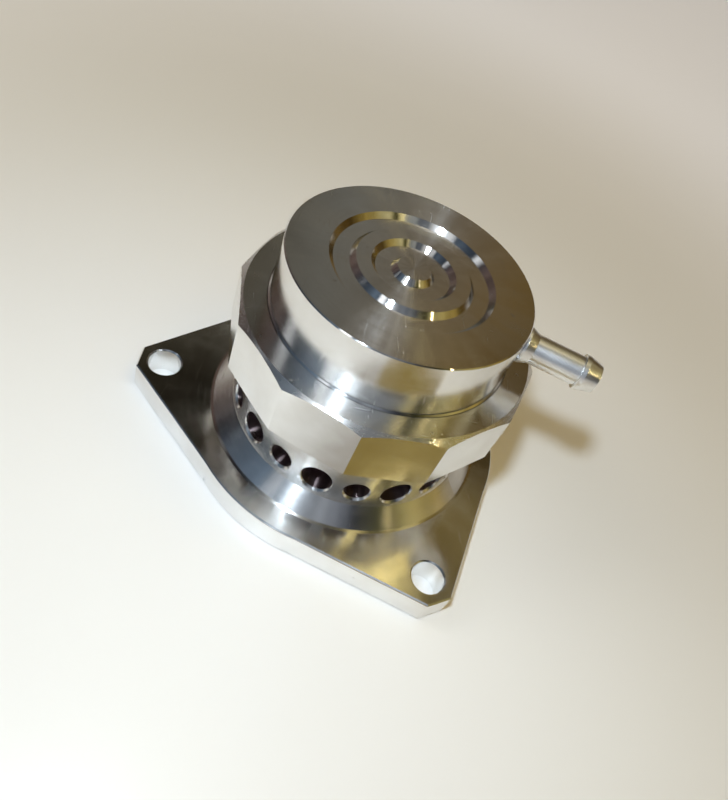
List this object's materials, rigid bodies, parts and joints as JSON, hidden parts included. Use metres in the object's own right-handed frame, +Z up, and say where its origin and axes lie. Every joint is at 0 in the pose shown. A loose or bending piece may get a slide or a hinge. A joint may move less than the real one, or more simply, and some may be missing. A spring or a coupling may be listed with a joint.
{
  "type": "blow off valve",
  "caption": "Piston-type blow off valve: triangular bolt-down flange, ring of vent holes, large clamp nut and round cap with a side hose nipple.",
  "frame": {"origin": "centre of the inlet port in the plane of the flange's underside", "axes": "+Z up along the valve axis, out through the cap; the flange's third ear points along +Y"},
  "size_m": [0.0798, 0.0781, 0.0473],
  "materials": {
    "billet_aluminium": "turned and polished",
    "piston_aluminium": "dark red-brown anodised",
    "steel": "satin",
    "seal_rubber": "matt"
  },
  "bodies": {
    "housing": {"valve_body": "billet_aluminium", "flange_seal": "seal_rubber", "clamp_nut": "billet_aluminium", "slip_washer": "steel", "cap_seal": "seal_rubber", "spring": "steel"},
    "cap": {"top_cap": "billet_aluminium", "nipple_seal": "steel", "hose_nipple": "billet_aluminium", "preload_shim": "steel"},
    "piston": {"piston": "piston_aluminium", "piston_ring_upper": "seal_rubber", "piston_ring_lower": "seal_rubber", "nose_seal": "seal_rubber", "spring_seat": "steel"}
  },
  "joints": [
    {"name": "piston_slide", "type": "slide", "parent": "housing", "child": "piston", "axis": [0, 0, 1], "range_m": [0, 0.0085], "stiffness_N_per_m": 3000, "springref_m": -0.01, "deforming": ["spring"]},
    {"name": "cap_swivel", "type": "hinge", "parent": "housing", "child": "cap", "pos_m": [0, 0, 0.0324], "axis": [0, 0, 1], "continuous": true}
  ]
}
